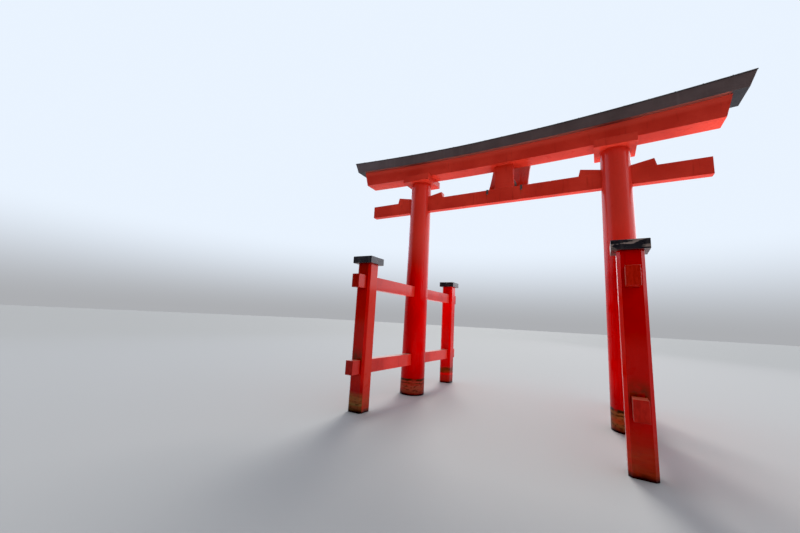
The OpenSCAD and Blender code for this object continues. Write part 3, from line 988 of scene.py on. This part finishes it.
bolt_model = model_bolt()
nuki_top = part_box("nuki")[1].z
for side in ("left", "right"):
    low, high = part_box(f"{side}_plaque_hook")
    middle = (low.x + high.x) / 2
    leg_l = nuki_top - low.z
    for row, drop in HOOK_BOLT_DROPS.items():
        on_leg = facing((0, -1, 0), (middle, low.y, nuki_top - drop * leg_l))
        hand_over(repeat(bolt_model, f"{side}_{row}_hook_bolt", on_leg), iron_finish)
    on_nuki = facing((0, 0, 1), (middle, 0, high.z))
    hand_over(repeat(bolt_model, f"{side}_seat_bolt", on_nuki), iron_finish)

strut_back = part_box("centre_strut")[1].y
shimagi_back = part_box("shimagi")[1].y
stay_low, stay_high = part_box("left_lower_stay")
stay_t = stay_high.x - stay_low.x
stay_h = stay_high.z - stay_low.z
plate_model = model_plate(bolt_model, stay_h)
long_plate_model = model_plate(bolt_model, stay_h / math.cos(PLAQUE_TILT))
for side, way in (("left", -1), ("right", 1)):
    for row, beam_back in (("lower", strut_back), ("upper", shimagi_back)):
        low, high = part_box(f"{side}_{row}_stay")
        inward = (low.x + high.x) / 2 - way * (stay_t + PLATE_W) / 2
        foot = Vector((inward, beam_back, low.z + stay_h / 2))
        on_beam = Matrix.Translation(foot) @ Matrix.Rotation(-math.pi / 2, 4, "X")
        hand_over(repeat(plate_model, f"{side}_{row}_beam_plate", on_beam), iron_finish)
        head_z = high.z - stay_h / 2
        head_y = board_foot.y + (head_z - board_foot.z) * math.tan(PLAQUE_TILT)
        on_back = Matrix.Translation((inward, head_y, head_z)) @ plaque_turn
        hand_over(repeat(long_plate_model, f"{side}_{row}_plaque_plate", on_back), iron_finish)
for model in (bolt_model, plate_model, long_plate_model):
    bpy.data.objects.remove(model)

# The studio has a wide pale floor. It lies a millimetre below the feet of the gate, so that no two
# faces share one plane.

FLOOR_SPAN = 400.0
FLOOR_Z = -0.001
FLOOR_GREY = (0.36, 0.36, 0.36)
bpy.ops.object.select_all(action="DESELECT")
bpy.ops.mesh.primitive_plane_add(size=FLOOR_SPAN, location=(0, 0, FLOOR_Z))
floor = bpy.context.active_object
floor.name = "studio_floor"
floor_finish, floor_tree, floor_shader = new_finish("studio_floor")
put(floor_tree, floor_shader.inputs["Base Color"], FLOOR_GREY)
put(floor_tree, floor_shader.inputs["Roughness"], 0.8)
floor.data.materials.append(floor_finish)
floor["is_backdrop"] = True

# Soft light: a pale surround that darkens towards the front, a broad key from behind on the left,
# a weak fill from the front, and a low panel that lifts the undersides.

SURROUND_FRONT = (0.13, 0.12, 0.11)
SURROUND_BACK = (0.82, 0.90, 1.00)
SURROUND_FOOT = (0.42, 0.43, 0.45)
LOW_PANEL_SIZE = (19, 9)
LOW_PANEL_SPOT = (4.2, 2.6, 0.05)

surround = bpy.data.worlds.new("soft_surround")
surround.use_nodes = True
bpy.context.scene.world = surround
tree = surround.node_tree
direction = tree.nodes.new("ShaderNodeTexCoord").outputs["Generated"]
upwards = level(tree, axis_of(tree, direction, "Z"), 0.00, 0.22)
towards_back = level(tree, axis_of(tree, direction, "Y"), -0.85, 0.05)
behind = blend(tree, upwards, SURROUND_FOOT, SURROUND_BACK)
put(tree, tree.nodes["Background"].inputs["Color"], blend(tree, towards_back, SURROUND_FRONT, behind))
put(tree, tree.nodes["Background"].inputs["Strength"], 1.0)


def soft_sun(name, energy, spread, colour, turn, height):
    """A broad parallel light from a turn about the gate and a height above the floor, in degrees."""
    light = bpy.data.lights.new(name, "SUN")
    light.energy = energy
    light.angle = math.radians(spread)
    light.color = colour
    lamp = bpy.data.objects.new(name, light)
    bpy.context.scene.collection.objects.link(lamp)
    lamp.matrix_world = Matrix.Rotation(math.radians(turn), 4, "Z") @ Matrix.Rotation(
        math.radians(height - 90), 4, "X")
    return lamp


def panel(name, brightness, size, colour, matrix, spread=180):
    """A flat lit panel of a size in metres, which shines along its own -Z and isn't seen itself.
    spread is the angle in degrees that its light fans out to."""
    light = bpy.data.lights.new(name, "AREA")
    light.shape = "RECTANGLE"
    light.size, light.size_y = size
    light.spread = math.radians(spread)
    light.energy = brightness * math.pi * size[0] * size[1]
    light.color = colour
    lamp = bpy.data.objects.new(name, light)
    bpy.context.scene.collection.objects.link(lamp)
    lamp.matrix_world = matrix
    lamp.visible_camera = False
    return lamp


soft_sun("key", energy=2.2, spread=20, colour=(1.0, 0.97, 0.92), turn=18, height=42)
fill = soft_sun("fill", energy=0.72, spread=60, colour=(1.0, 0.95, 0.90), turn=220, height=18)
fill.visible_glossy = False
lying = Matrix.Translation(LOW_PANEL_SPOT) @ Matrix.Rotation(math.pi, 4, "X")
low_panel = panel("low_panel", 1.85, LOW_PANEL_SIZE, (1.0, 0.89, 0.76), lying, spread=115)
low_panel.visible_glossy = False

# Two tall reflectors draw the highlights on the gloss paint, one behind the gate on the right and
# one beside it on the left. Neither adds to the diffuse light.

REFLECTOR_AWAY = 32
REFLECTOR_H = 26
REFLECTOR_BRIGHTNESS = 1.4


def standing(turn, away, foot, size):
    """The place of an upright panel at a turn about the gate, facing it, its lower edge at foot."""
    return Matrix.Rotation(math.radians(turn), 4, "Z") @ Matrix.Translation(
        (0, away, foot + size[1] / 2)) @ Matrix.Rotation(-math.pi / 2, 4, "X")


for name, width, colour, turn, foot in (
        ("right_reflector", 90, (0.97, 0.93, 1.0), -50, 6.0),
        ("left_reflector", 60, (0.66, 0.74, 1.0), 85, 9.5)):
    size = (width, REFLECTOR_H)
    reflector = panel(name, REFLECTOR_BRIGHTNESS, size, colour, standing(turn, REFLECTOR_AWAY, foot, size))
    reflector.visible_diffuse = False

# The camera stands low in front, to the right of the middle, and looks left and up at the gate. Its
# lens is wide, and it is rolled a little to one side.

EYE = (2.275, -9.474, 2.179)
TURN = math.radians(30.925)
TILT = math.radians(9.000)
ROLL = math.radians(2.999)
FOCAL_PIXELS = 337.0
PHOTO_WIDTH = 800
SENSOR_WIDTH = 36

lens = bpy.data.cameras.new("photo_camera")
lens.sensor_width = SENSOR_WIDTH
lens.lens = FOCAL_PIXELS / PHOTO_WIDTH * SENSOR_WIDTH
camera = bpy.data.objects.new("photo_camera", lens)
bpy.context.scene.collection.objects.link(camera)
camera.matrix_world = (
    Matrix.Translation(EYE)
    @ Matrix.Rotation(TURN, 4, "Z")
    @ Matrix.Rotation(math.pi / 2 + TILT, 4, "X")
    @ Matrix.Rotation(ROLL, 4, "Z")
)
bpy.context.scene.camera = camera

# The picture keeps plain colours. What is nearly black is shown as full black, so that the beam
# stands out dark against the light.

BLACK_LEVEL = 0.006
look = bpy.context.scene.view_settings
look.view_transform = "Standard"
look.use_curve_mapping = True
look.curve_mapping.black_level = (BLACK_LEVEL, BLACK_LEVEL, BLACK_LEVEL)
look.curve_mapping.update()

low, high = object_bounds()
